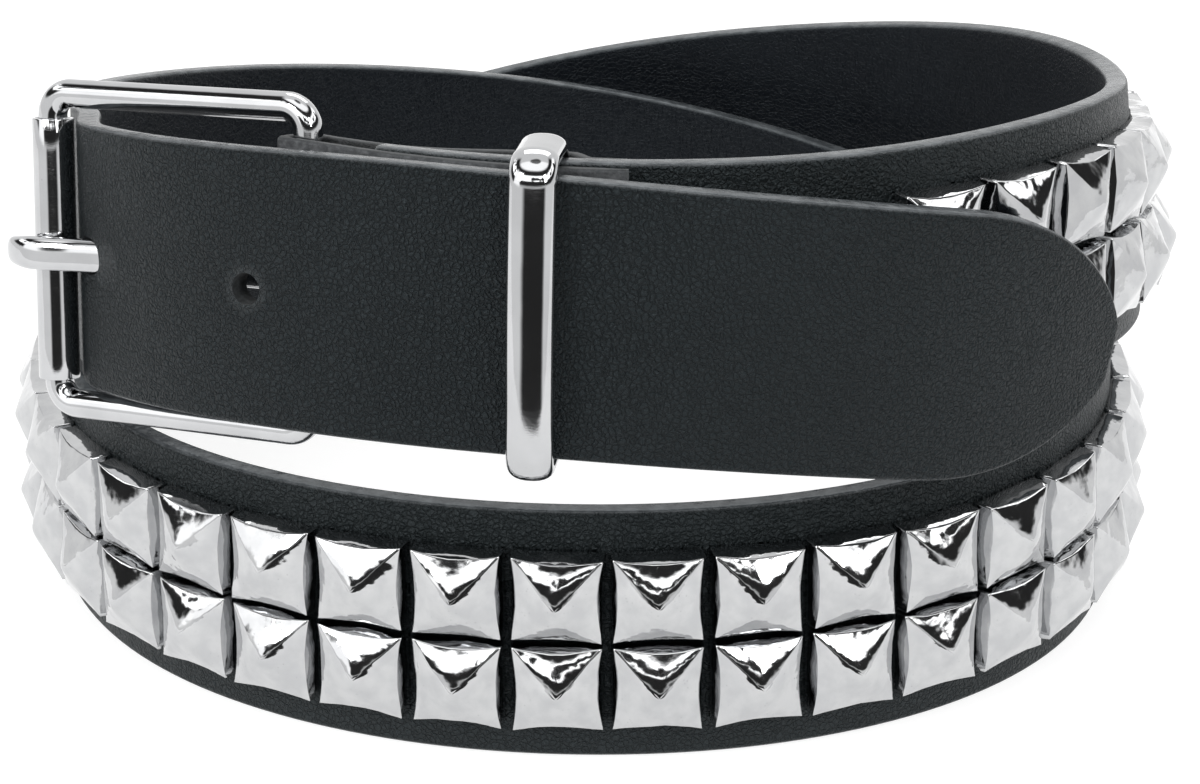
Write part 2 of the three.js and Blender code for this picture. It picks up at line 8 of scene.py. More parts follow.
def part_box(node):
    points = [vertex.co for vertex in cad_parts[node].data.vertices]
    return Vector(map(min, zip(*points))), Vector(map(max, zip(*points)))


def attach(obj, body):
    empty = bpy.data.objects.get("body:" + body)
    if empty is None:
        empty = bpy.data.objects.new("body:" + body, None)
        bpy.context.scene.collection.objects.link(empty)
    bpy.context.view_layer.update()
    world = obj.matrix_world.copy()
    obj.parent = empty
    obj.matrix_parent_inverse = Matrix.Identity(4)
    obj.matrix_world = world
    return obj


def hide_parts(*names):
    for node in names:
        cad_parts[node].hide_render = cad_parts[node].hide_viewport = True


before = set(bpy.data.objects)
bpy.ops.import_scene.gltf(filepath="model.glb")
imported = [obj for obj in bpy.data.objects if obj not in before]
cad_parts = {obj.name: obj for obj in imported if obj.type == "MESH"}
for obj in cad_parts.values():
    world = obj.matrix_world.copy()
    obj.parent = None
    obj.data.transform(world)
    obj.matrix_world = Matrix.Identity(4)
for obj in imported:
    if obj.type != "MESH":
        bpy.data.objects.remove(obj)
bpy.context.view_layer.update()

# Camera: a long lens a little above the belt, looking straight at the fastened buckle side.
camera_aim = Vector((0.0019, -0.0069, 0.0236))
camera_distance = 0.418
camera_pitch = math.radians(23.5)
camera_data = bpy.data.cameras.new("camera")
camera_data.lens = 75
camera_data.sensor_width = 36
camera_data.clip_start = 0.01
camera = bpy.data.objects.new("camera", camera_data)
camera_direction = Vector((0, -math.cos(camera_pitch), math.sin(camera_pitch)))
camera.location = camera_aim + camera_distance * camera_direction
camera.rotation_euler = (math.pi / 2 - camera_pitch, 0, 0)
bpy.context.scene.collection.objects.link(camera)
bpy.context.scene.camera = camera
bpy.context.scene.view_settings.view_transform = "Standard"

# Strap: one length of firm near-black leather, about 3.4 mm thick, with a fine printed grain outside,
# a smooth inner face and waxed edges, their colour lifted as a painted highlight along their rounding. It is
# cut with a rounded tip and punched with five holes. A painted sheen leaves the studded stretch paler than the
# tip end.
strap_width = 0.038
strap_thickness = 0.0034
strap_edge = 0.0008  # rounding of its long edges
strap_setback = 0.01  # from the heel bar to the strap's end between the chape's legs
tip_length = 0.03
tip_flat = 0.003  # half height of the blunt end
tip_belly = 2.1  # powers that round the tip's two sides
tip_nose = 0.72
hole_diameter = 0.0044
hole_pitch = 0.027
holes_behind = 3  # on the buckle's side of the hole in use
holes_ahead = 1
prong_hole_from_roller = 0.0115
tip_from_last_hole = 0.126
body_stations = 400
tip_stations = 30
width_spans = 14
corner_spans = 4

# Sizes of the pieces that the strap makes room for, which the later sections use too
seat_gap = 0.0003
lap_play = 0.0015  # between the chape's outer leg and the strap's tip end
nest_play = 0.0009  # between a turn and the stud points of the turn beside it
stud_height = 0.006
chape_leg = 0.0018
bar_diameter = 0.0041
frame_length = 0.043
roller_diameter = 0.0059
prong_width = 0.0048
prong_thickness = 0.0032
prong_past = 0.0056

# The strap's way round the coil, anticlockwise from the front as seen from above, a row each 30 degrees.
# reach is a share of coil_reach, laps and nests count steps outwards over a neighbour, rise is the height
# of the strap's middle as a share of its width, and lean is in degrees.
coil_reach = 0.082
lap_step = strap_thickness + seat_gap + chape_leg + lap_play
nest_step = strap_thickness + stud_height + seat_gap + nest_play
heel_turn = -32.2
turn_step = 30
first_turn = -90
sample_step = 0.25
way_columns = ("reach", "laps", "nests", "rise", "lean")
way = [
    (0.95, 0, 0, 1.8, 15),
    (0.93, 0, 0, 1.8, 14),
    (0.91, 0, 0, 1.83, 12),
    (0.88, 0, 0, 1.82, 4),
    (0.93, 0, 0, 1.81, 3),
    (0.99, 0, 0, 1.79, 6),
    (1.01, 0, 0, 1.57, 9),
    (1.11, 0, 0, 1.45, 7),
    (1.14, 0, 0, 1.22, 5),
    (1.13, 0, 0, 1.01, 3),
    (1.13, 0, 0, 0.75, 1),
    (1.12, 0, 0, 0.54, 0),
    (1.09, 0, 0, 0.51, 1),
    (1.03, 0, 0, 0.51, 2),
    (0.93, 0, 0, 0.51, 3),
    (0.89, 0, 0, 0.51, 3),
    (0.93, 0, 0, 0.51, 3),
    (1.01, 0, 0, 0.51, 3),
    (1.05, 0, -0.4, 0.51, 3),
    (1.11, 0, -1, 0.56, 1),
    (1.12, 0, -1, 0.68, 0),
    (1.13, 0, -1, 0.86, -1),
    (1.13, 0, -1, 1.06, 0),
    (1.12, 0, -1, 1.28, 1),
    (1.05, 0, -0.4, 1.51, 4),
    (1.1, 0, 0, 1.74, 15),
    (0.91, 1, 0, 1.86, 12),
    (0.89, 1, 0, 1.84, 4),
    (0.95, 0.6, 0.44, 1.7, 0),
    (1.03, 0, 1, 1.37, -1),
    (1.12, 0, 1, 1.05, -2),
    (1.17, 0, 1, 0.75, -1),
]
way = [dict(zip(way_columns, row)) for row in way]

# Behind the roller the strap dips inwards and stands more upright, each over a stretch given in degrees.
dip = {"from": 622, "full": 648, "leave": 655, "until": 666, "depth": 0.004}
stand = {"from": 600, "full": 650, "leave": 668, "until": 705, "lean": 6.4}


def way_value(column, turn):
    """A uniform cubic B-spline along one column of the way."""
    u = (turn - first_turn) / turn_step
    i = min(max(math.floor(u), 1), len(way) - 3)
    t = u - i
    a, b, c, d = (way[i + k][column] for k in (-1, 0, 1, 2))
    return (
        (1 - t) ** 3 * a
        + (3 * t**3 - 6 * t**2 + 4) * b
        + (-3 * t**3 + 3 * t**2 + 3 * t + 1) * c
        + t**3 * d
    ) / 6


def ease(value, low, high):
    """0 up to low, 1 from high on, and a smooth step between."""
    share = min(max((value - low) / (high - low), 0), 1)
    return share * share * (3 - 2 * share)


def share_of(stretch, turn):
    on = ease(turn, stretch["from"], stretch["full"])
    off = ease(turn, stretch["leave"], stretch["until"])
    return on * (1 - off)


def middle_at(turn, depth=dip["depth"]):
    reach = (
        way_value("reach", turn) * coil_reach
        + way_value("laps", turn) * lap_step
        + way_value("nests", turn) * nest_step
        - share_of(dip, turn) * depth
    )
    angle = math.radians(turn)
    height = way_value("rise", turn) * strap_width
    return Vector((reach * math.sin(angle), -reach * math.cos(angle), height))


class Place:
    """A place on the strap: its middle, and the directions along it, out of its face and across it."""

    def __init__(self, turn):
        easy = (middle_at(turn + sample_step, 0) - middle_at(turn - sample_step, 0)).normalized()
        level = Vector((easy.y, -easy.x, 0)).normalized()
        upright = easy.cross(level).normalized()
        lean = math.radians(way_value("lean", turn) - share_of(stand, turn) * stand["lean"])
        across = -math.cos(lean) * upright - math.sin(lean) * level
        self.middle = middle_at(turn)
        self.forward = (middle_at(turn + sample_step) - middle_at(turn - sample_step)).normalized()
        self.across = (across - across.dot(self.forward) * self.forward).normalized()
        self.out = self.forward.cross(self.across)

    def beside(self, out, across):
        return self.middle + out * self.out + across * self.across


# Distances along the strap, from the heel bar, are measured over fine steps of turn.
last_turn = first_turn + (len(way) - 2) * turn_step
lead = 1  # degrees before the heel bar at which the measuring starts
turns = [heel_turn - lead + i * sample_step for i in range(int((last_turn - heel_turn + lead) / sample_step))]
middles = [middle_at(turn) for turn in turns]
runs = [0.0]
for before, after in zip(middles, middles[1:]):
    runs.append(runs[-1] + (after - before).length)
runs = [run - runs[round(lead / sample_step)] for run in runs]


def turn_of(distance):
    low, high = 0, len(runs) - 1
    while high - low > 1:
        mid = (low + high) // 2
        low, high = (mid, high) if runs[mid] < distance else (low, mid)
    share = (distance - runs[low]) / (runs[high] - runs[low])
    return turns[low] + share * (turns[high] - turns[low])


def place_at(distance):
    return Place(turn_of(distance))


# The buckle: its heel bar lies in the chape's fold, and its roller rests on the strap's other end.
heel = place_at(0)
roller_lift = strap_thickness / 2 + seat_gap + roller_diameter / 2
halvings = 40


def roller_distance():
    """How far along the strap the roller lies, the frame's length from the heel bar."""
    near, far = (runs[int((turn - turns[0]) / sample_step)] for turn in (stand["until"], dip["from"]))
    for _ in range(halvings):
        mid = (near + far) / 2
        reach = (place_at(mid).beside(roller_lift, 0) - heel.middle).length
        near, far = (mid, far) if reach < frame_length else (near, mid)
    return near


roller_at = roller_distance()
roller_middle = place_at(roller_at).beside(roller_lift, 0)
buckle_along = (roller_middle - heel.middle).normalized()
buckle_across = (heel.across - heel.across.dot(buckle_along) * buckle_along).normalized()
buckle_out = buckle_across.cross(buckle_along)
prong_hole = roller_at + prong_hole_from_roller
first_hole = prong_hole - holes_behind * hole_pitch
holes = [first_hole + i * hole_pitch for i in range(holes_behind + holes_ahead + 1)]
strap_end = prong_hole + holes_ahead * hole_pitch + tip_from_last_hole

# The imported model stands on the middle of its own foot, so everything above moves with it.
frame_low, frame_high = (Vector(corner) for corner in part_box("buckle_frame"))
shift = (frame_low + frame_high) / 2 - (heel.middle + roller_middle) / 2


def skin(name, rings, notes=None, closed=False):
    """A mesh over rings of points, its ends filled or joined. notes are UV maps, a pair for each point."""
    count = len(rings[0])
    points = [point + shift for ring in rings for point in ring]
    faces = []
    for i in range(len(rings) if closed else len(rings) - 1):
        j = (i + 1) % len(rings)
        for k in range(count):
            n = (k + 1) % count
            faces.append((i * count + k, i * count + n, j * count + n, j * count + k))
    if not closed:
        faces.append(tuple(range(count)))
        faces.append(tuple(range(len(points) - count, len(points))))
    mesh = bpy.data.meshes.new(name)
    mesh.from_pydata(points, [], faces)
    for label, pairs in (notes or {}).items():
        layer = mesh.uv_layers.new(name=label)
        for loop in mesh.loops:
            layer.uv[loop.index].vector = pairs[loop.vertex_index]
    return mesh


def face_out(mesh):
    work = bmesh.new()
    work.from_mesh(mesh)
    bmesh.ops.remove_doubles(work, verts=work.verts, dist=1e-7)
    bmesh.ops.recalc_face_normals(work, faces=work.faces)
    work.to_mesh(mesh)
    work.free()


def shape(name, mesh, *finishes, crease=40):
    """An object of a mesh, with its faces out, its finishes, and smooth but for its creases."""
    face_out(mesh)
    mesh.shade_smooth()
    mesh.set_sharp_from_angle(angle=math.radians(crease))
    for finish in finishes:
        mesh.materials.append(finish)
    piece = bpy.data.objects.new(name, mesh)
    bpy.context.scene.collection.objects.link(piece)
    return piece


def applied(piece):
    """The piece's mesh with its modifiers worked in."""
    graph = bpy.context.evaluated_depsgraph_get()
    worked = piece.evaluated_get(graph)
    mesh = bpy.data.meshes.new_from_object(worked, preserve_all_data_layers=True, depsgraph=graph)
    piece.modifiers.clear()
    piece.data = mesh
    return mesh


def cut(piece, cutter, crease=40):
    """Takes the cutter out of a piece, its faces with it."""
    step = piece.modifiers.new("cut", "BOOLEAN")
    step.operation = "DIFFERENCE"
    step.solver = "EXACT"
    step.object = cutter
    mesh = applied(piece)
    bpy.data.objects.remove(cutter)
    mesh.set_sharp_from_angle(angle=math.radians(crease))


def joined(name, meshes):
    """One mesh of several."""
    work = bmesh.new()
    for mesh in meshes:
        work.from_mesh(mesh)
    made = bpy.data.meshes.new(name)
    work.to_mesh(made)
    work.free()
    return made


def edge_section(half_thick, half_wide, rounding, spans):
    """A flat bar's section with rounded edges, as (out, across) points round it."""
    points = []
    for sx, sy, start in ((1, 1, 0), (-1, 1, 90), (-1, -1, 180), (1, -1, 270)):
        for i in range(corner_spans + 1):
            angle = math.radians(start + i * 90 / corner_spans)
            out = sx * (half_thick - rounding) + rounding * math.cos(angle)
            across = sy * (half_wide - rounding) + rounding * math.sin(angle)
            points.append((out, across))
        if start in (90, 270):
            side = -half_thick if start == 90 else half_thick
            edge = half_wide - rounding
            for i in range(1, spans):
                points.append((side, sy * edge * (1 - 2 * i / spans)))
    return points


def tip_share(distance):
    """The strap's width at a distance, as a share of its full width."""
    into = (distance - (strap_end - tip_length)) / tip_length
    if into <= 0:
        return 1
    blunt = tip_flat / (strap_width / 2)
    return blunt + (1 - blunt) * max(1 - into**tip_belly, 0) ** tip_nose


def strap_stations():
    body = strap_end - tip_length - strap_setback
    stations = [strap_setback + body * i / body_stations for i in range(body_stations)]
    for i in range(tip_stations + 1):
        stations.append(strap_end - tip_length * (1 - math.sin(i / tip_stations * math.pi / 2)))
    stations += [strap_setback + strap_edge * share for share in (0.1, 0.3, 0.6, 1)]
    return sorted(set(stations))


def strap_ring(distance):
    """The strap's section at a distance, drawn in where its ends are rounded."""
    from_end = min(distance - strap_setback, strap_end - distance)
    inset = 0
    if from_end < strap_edge:
        inset = strap_edge - math.sqrt(max(strap_edge**2 - (strap_edge - from_end) ** 2, 0))
    half_wide = strap_width / 2 * tip_share(distance) - inset
    half_thick = strap_thickness / 2 - inset
    rounding = min(strap_edge, half_thick * 0.98)
    return edge_section(half_thick, half_wide, rounding, width_spans)


def strap_mesh():
    """The strap, with "lay", its place along and across, and "side", its share of the thickness."""
    rings, lay, side = [], [], []
    for distance in strap_stations():
        place = place_at(distance)
        ring = strap_ring(distance)
        rings.append([place.beside(out, across) for out, across in ring])
        lay += [(distance, across) for out, across in ring]
        side += [(out / strap_thickness + 0.5, across) for out, across in ring]
    return skin("strap", rings, {"lay": lay, "side": side})


def punch(distance, diameter, sides=32, length=0.03):
    """A round bar through the strap."""
    place = place_at(distance)
    rings = []
    for end in (-0.5, 0.5):
        middle = place.middle + end * length * place.out
        ring = []
        for k in range(sides):
            angle = 2 * math.pi * k / sides
            spoke = math.cos(angle) * place.forward + math.sin(angle) * place.across
            ring.append(middle + diameter / 2 * spoke)
        rings.append(ring)
    return skin("punch", rings)


# The prong's bar leaves the heel bar, comes up through its hole, and lies bent over the roller. length is
# a share of the frame's, past of prong_past, and lift of the height at which it lies on the roller.
prong_line = [
    {"length": 0, "past": 0, "lift": 0.56},
    {"length": 0.25, "past": 0, "lift": 0.55},
    {"length": 0.6, "past": 0, "lift": 0.5},
    {"length": 0.84, "past": 0, "lift": 0.72},
    {"length": 1, "past": 0, "lift": 1},
    {"length": 1, "past": 0.6, "lift": 0.86},
    {"length": 1, "past": 1, "lift": 0.45},
]
prong_knot_steps = 24
prong_crowding = 0.8  # power that draws its rings together towards the tip
prong_nose = 0.42  # length of its rounded end, in thicknesses
prong_point = 0.74  # share of its section that is left before that
prong_taper = 7  # thicknesses of length in which it would grow by a whole section
prong_squareness = 0.75  # power that squares its section off


def prong_curve(steps):
    """Stops along the prong: a point and a direction, as (along, out) pairs, and the length left."""
    rest = roller_diameter / 2 + seat_gap + prong_thickness / 2
    knots = []
    for knot in prong_line:
        reach = knot["length"] * frame_length + knot["past"] * prong_past
        knots.append(Vector((reach, knot["lift"] * rest)))
    knots = [2 * knots[0] - knots[1]] + knots + [2 * knots[-1] - knots[-2]]
    fine = []
    for i in range(1, len(knots) - 2):
        a, b, c, d = knots[i - 1 : i + 3]
        square, cube = 2 * a - 5 * b + 4 * c - d, 3 * b - a - 3 * c + d
        for k in range(prong_knot_steps):
            t = k / prong_knot_steps
            fine.append(0.5 * (2 * b + (c - a) * t + square * t**2 + cube * t**3))
    fine.append(knots[-2])
    lengths = [0.0]
    for before, after in zip(fine, fine[1:]):
        lengths.append(lengths[-1] + (after - before).length)
    stops = []
    for i in range(steps + 1):
        wanted = lengths[-1] * math.sin(i / steps * math.pi / 2) ** prong_crowding
        k = max(n for n in range(len(lengths) - 1) if lengths[n] <= wanted)
        share = (wanted - lengths[k]) / (lengths[k + 1] - lengths[k])
        run = (fine[k + 1] - fine[k]).normalized()
        stops.append((fine[k].lerp(fine[k + 1], min(share, 1)), run, lengths[-1] - wanted))
    return stops


def prong_bar(extra, steps=60, sides=32):
    """The prong's bar, or the room for it with a gap all round."""
    half, wide = prong_thickness / 2 + extra, prong_width / 2 + extra
    nose = prong_thickness * prong_nose
    rings = []
    for at, run, left in prong_curve(steps):
        taper = min(1, prong_point + left / (prong_taper * prong_thickness))
        if left < nose:
            taper *= max(math.sqrt(max(1 - ((nose - left) / nose) ** 2, 0)), 0.02)
        ring = []
        for k in range(sides):
            angle = 2 * math.pi * (k + 0.5) / sides
            round_spot = (math.cos(angle), math.sin(angle))
            square = [math.copysign(abs(v) ** prong_squareness, v) for v in round_spot]
            off, across = half * square[0] * taper, wide * square[1] * taper
            x, y = at.x - run.y * off, at.y + run.x * off
            ring.append(heel.middle + x * buckle_along + y * buckle_out + across * buckle_across)
        rings.append(ring)
    return skin("prong_bar", rings)


class Wire:
    """A number, colour or vector on its way through a material, worked on with plain arithmetic."""

    def __init__(self, nodes, socket):
        self.nodes, self.socket = nodes, socket

    def other(self, name):
        return Wire(self.nodes, self.socket.node.outputs[name])

    def math(self, operation, *values):
        return self.nodes.node("ShaderNodeMath", {"operation": operation}, values)

    def __add__(self, other):
        return self.math("ADD", self, other)

    def __sub__(self, other):
        return self.math("SUBTRACT", self, other)

    def __rsub__(self, other):
        return self.math("SUBTRACT", other, self)

    def __mul__(self, other):
        return self.math("MULTIPLY", self, other)

    def __truediv__(self, other):
        return self.math("DIVIDE", self, other)

    def __pow__(self, other):
        return self.math("POWER", self, other)

    __radd__, __rmul__ = __add__, __mul__

    def rise(self, low, high):
        """0 below low and 1 above high, eased between; the other way round where high is the lower."""
        settings = {"interpolation_type": "SMOOTHSTEP"}
        if low > high:
            return 1 - self.nodes.node("ShaderNodeMapRange", settings, (self, high, low))
        return self.nodes.node("ShaderNodeMapRange", settings, (self, low, high))


class Nodes:
    """A node tree of a finish, the light or a row of studs."""

    def __init__(self, tree):
        self.tree = tree

    def node(self, kind, settings=None, values=(), take=0):
        """Makes a node with these settings and inputs, and returns one of its outputs."""
        made = self.tree.nodes.new(kind)
        for name, value in (settings or {}).items():
            setattr(made, name, value)
        for key, value in values.items() if isinstance(values, dict) else enumerate(values):
            if isinstance(value, Wire):
                self.tree.links.new(value.socket, made.inputs[key])
            elif value is not None:
                made.inputs[key].default_value = value
        return Wire(self, made.outputs[take])

    def mixed(self, share, first, second):
        """A colour between two."""
        first, second = ((*c, 1) if isinstance(c, tuple) else c for c in (first, second))
        values = {0: share, 6: first, 7: second}
        return self.node("ShaderNodeMix", {"data_type": "RGBA"}, values, take=2)

    def where(self, name=None):
        """The place on the object, or on one of its UV maps."""
        if name:
            return self.node("ShaderNodeUVMap", {"uv_map": name})
        return self.node("ShaderNodeTexCoord", take="Object")

    def noise(self, place, scale, detail=2, roughness=0.5):
        values = {"Vector": place, "Scale": scale, "Detail": detail, "Roughness": roughness}
        return self.node("ShaderNodeTexNoise", None, values)

    def cells(self, place, scale, feature="F1"):
        return self.node("ShaderNodeTexVoronoi", {"feature": feature}, {"Vector": place, "Scale": scale})

    def parts(self, vector):
        split = self.node("ShaderNodeSeparateXYZ", None, (vector,))
        return split, split.other("Y"), split.other("Z")

    def bump(self, height, distance, strength=1.0, under=None):
        values = {"Height": height, "Distance": distance, "Strength": strength, "Normal": under}
        return self.node("ShaderNodeBump", None, values)


class Finish(Nodes):
    """A material of one Principled shader."""

    def __init__(self, name, **plain):
        self.material = bpy.data.materials.new(name)
        self.material.use_nodes = True
        super().__init__(self.material.node_tree)
        self.shader = self.tree.nodes["Principled BSDF"]
        for name, value in plain.items():
            label = name.replace("_", " ").title().replace("Ior", "IOR")
            self.shader.inputs[label].default_value = value

    def put(self, label, value):
        self.tree.links.new(value.socket, self.shader.inputs[label])


grain_drift = 0.0011  # by which the cells of the grain are pushed about


def grain(finish, place, scale):
    """Printed leather grain: small rounded cells, with creases between larger ones, and a fine fuzz."""
    drift = finish.noise(place, scale * 0.35, 2).other("Color")
    values = (drift, (grain_drift, grain_drift, grain_drift), place)
    warped = finish.node("ShaderNodeVectorMath", {"operation": "MULTIPLY_ADD"}, values)
    pebble = finish.cells(warped, scale)
    crease = finish.cells(warped, scale * 0.62, "DISTANCE_TO_EDGE").rise(0.0, 0.16)
    fine = finish.noise(place, scale * 2.6, 3)
    return (1 - pebble) * 0.55 + crease * 0.6 + fine * 0.3


painted_sheen_end = (0.98, 0.9)  # along the strap, where the painted sheen that leaves the studded stretch paler gives way to the darker tip end
worn_ring = (hole_diameter * 0.86, hole_diameter * 0.56)  # outer and inner radius round each hole


def strap_leather():
    """Near-black printed outside, smooth blacker inside, pale waxed edges lifted further as a painted
    highlight, rubbed rings at the holes, and a painted sheen that leaves the studded stretch paler than the tip
    end.
    """
    sheen = (0.85, 0.95, 1, 1)
    finish = Finish("strap_leather", specular_ior_level=0.26, specular_tint=sheen)
    place = finish.where()
    run, across, _ = finish.parts(finish.where("lay"))
    out, _, _ = finish.parts(finish.where("side"))
    outside = out.rise(0.9, 0.99)
    inside = out.rise(0.1, 0.01)
    rim = (1 - outside) * (1 - inside)
    broad = finish.noise(place, 38, 3)
    pebbles = grain(finish, place, 2000)
    specks = finish.cells(place, 520).rise(0.13, 0.05) * finish.noise(place, 160, 2).rise(0.5, 0.66)
    worn = 0
    for hole in holes:
        off = run - hole
        worn = worn + ((off * off + across * across) ** 0.5).rise(*worn_ring)
    face = finish.mixed(broad.rise(0.3, 0.7), (0.0042, 0.0068, 0.008), (0.0072, 0.0105, 0.012))
    face = finish.mixed(pebbles.rise(0.95, 0.55) * 0.5, face, (0.0016, 0.0022, 0.0026))
    # painted sheen: the studded stretch is painted paler than the tip end, standing in for the light its grain
    # catches
    face = finish.mixed(run.rise(*painted_sheen_end) * 0.5, face, (0.017, 0.021, 0.022))
    face = finish.mixed(worn * 0.55, face, (0.03, 0.034, 0.036))
    back = finish.mixed(broad.rise(0.35, 0.7), (0.0018, 0.0026, 0.0048), (0.0032, 0.0045, 0.0072))
    back = finish.mixed(specks * 0.35, back, (0.07, 0.08, 0.095))
    # painted highlight: the edges' colour is lifted well above the face's to show the light along their
    # rounding, over their paler wax
    wax_and_sheen = finish.noise(place, 420, 3).rise(0.35, 0.75)
    border = finish.mixed(wax_and_sheen, (0.045, 0.05, 0.054), (0.1, 0.108, 0.114))
    finish.put("Base Color", finish.mixed(rim, finish.mixed(inside, face, back), border))
    scuffs = finish.noise(place, 240, 4, 0.65)
    polished = rim * 0.14 + worn * 0.12
    finish.put("Roughness", 0.3 + broad * 0.06 + scuffs * 0.1 + inside * 0.06 - polished)
    printed = (outside + inside * 0.35) * pebbles
    fibre = rim * finish.noise(place, 900, 3)
    ripple = finish.bump(broad, 0.004, 0.28)
    finish.put("Normal", finish.bump(printed + fibre * 0.4, 0.00042, 1.0, ripple))
    return finish.material


def cut_leather():
    """The raw fibre that a punch leaves bare."""
    finish = Finish("punched_leather")
    place = finish.where()
    fibre = finish.noise(place, 1400, 4, 0.7)
    colour = finish.mixed(fibre.rise(0.3, 0.75), (0.012, 0.014, 0.015), (0.06, 0.065, 0.068))
    finish.put("Base Color", colour)
    finish.put("Roughness", 0.62 + fibre * 0.3)
    finish.put("Normal", finish.bump(fibre, 0.0002, 0.6))
    return finish.material


leather = strap_leather()
punched = cut_leather()
strap = shape("strap_leather_band", strap_mesh(), leather, punched)
open_holes = holes[:holes_behind] + holes[holes_behind + 1 :]
for tool in [punch(hole, hole_diameter) for hole in open_holes] + [prong_bar(seat_gap)]:
    cutter = shape("cutter", tool, leather, punched)
    for polygon in cutter.data.polygons:
        polygon.material_index = 1
    cut(strap, cutter)
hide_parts("strap")
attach(strap, "root")

# Studs: two rows of four-sided pyramids pressed from thin sheet and nickel plated, each held by points
# that go through the leather. Their sides roll down to the leather, and no two sit quite alike.
stud_side = 0.013
stud_skirt = 0.0026
stud_sink = 0.0005  # of the rolled edge below its seat, into the leather
stud_rim = 0.978  # share of the half width at which the face meets the rolled side, at a corner
stud_bow = 0.1  # by which that is less in the middle of a side
stud_roll = 45  # degrees from level at which the rolled side leaves the face
stud_pillow = 0.0003  # by which a face swells
stud_nose = 0.0001  # taken off the point
stud_nose_reach = 0.08  # share of the face over which that fades
stud_spots = 9  # points on each side of a ring
stud_rings = (0, 0.2, 0.45, 0.7, 0.88, 0.96, 1, 1.03, 1.1, 1.25, 1.45, 1.65, 1.82, 1.93, 1.98)
stud_tilt = math.radians(1.6)  # the most by which a stud sits askew
stud_twist = 0.6  # its turning on its seat, as a share of that
stud_press = 0.0005  # the most by which handling has pushed its sheet about
column_pitch = 0.01363
row_pitch = 0.0136
first_column = 0.0873
studs_before_holes = 0.034
last_column = first_hole - studs_before_holes
columns = int((last_column - first_column) / column_pitch) + 1


def stud_profile(corner, inward):
    """A stud's (share of half its width, height), inward from its foot at 0 over its rim at 1 to its point
    at 2. corner is 0 in the middle of a side and 1 at its corners."""
    rim = stud_rim - stud_bow * (1 - corner**2)
    edge = stud_height - (stud_height - stud_skirt) * rim
    if inward < 1:
        start = math.radians(stud_roll)
        roll = math.radians(90 - (90 - stud_roll) * inward)
        out = rim + (1 - rim) * (math.sin(roll) - math.sin(start)) / (1 - math.sin(start))
        return out, (edge + stud_sink) * math.cos(roll) / math.cos(start) - stud_sink
    left = 2 - inward
    swell = stud_pillow * math.sin(math.pi * left) * (1 - corner**2)
    nose = stud_nose * (1 - ease(left, 0, stud_nose_reach))
    return rim * left, stud_height - (stud_height - stud_skirt) * rim * left + swell - nose


def stud_mesh():
    work = bmesh.new()
    rings = []
    for inward in stud_rings:
        ring = []
        for quarter in range(4):
            turned = Matrix.Rotation(quarter * math.pi / 2, 3, "Z")
            for k in range(stud_spots):
                along = math.sin((2 * k / stud_spots - 1) * math.pi / 2)
                out, height = stud_profile(abs(along), inward)
                point = Vector((out * stud_side / 2, along * out * stud_side / 2, height))
                ring.append(work.verts.new(turned @ point))
        rings.append(ring)
    for lower, upper in zip(rings, rings[1:]):
        for k in range(len(lower)):
            n = (k + 1) % len(lower)
            work.faces.new((lower[k], lower[n], upper[n], upper[k]))
    for ring, height in ((rings[0], -stud_sink), (rings[-1], stud_profile(0, 2)[1])):
        pole = work.verts.new((0, 0, height))
        for k in range(len(ring)):
            work.faces.new((ring[k], ring[(k + 1) % len(ring)], pole))
    bmesh.ops.recalc_face_normals(work, faces=work.faces)
    mesh = bpy.data.meshes.new("stud")
    work.to_mesh(mesh)
    work.free()
    mesh.shade_smooth()
    return mesh


def stud_seats(across):
    """One point for each stud on its seat, with the directions out of the strap and along it."""
    places = [place_at(first_column + i * column_pitch) for i in range(columns)]
    mesh = bpy.data.meshes.new("stud_seats")
    lift = strap_thickness / 2 + seat_gap
    mesh.from_pydata([place.beside(lift, across) + shift for place in places], [], [])
    for name, side in (("out", "out"), ("along", "forward")):
        column = mesh.attributes.new(name, "FLOAT_VECTOR", "POINT")
        for i, place in enumerate(places):
            column.data[i].vector = getattr(place, side)
    return mesh


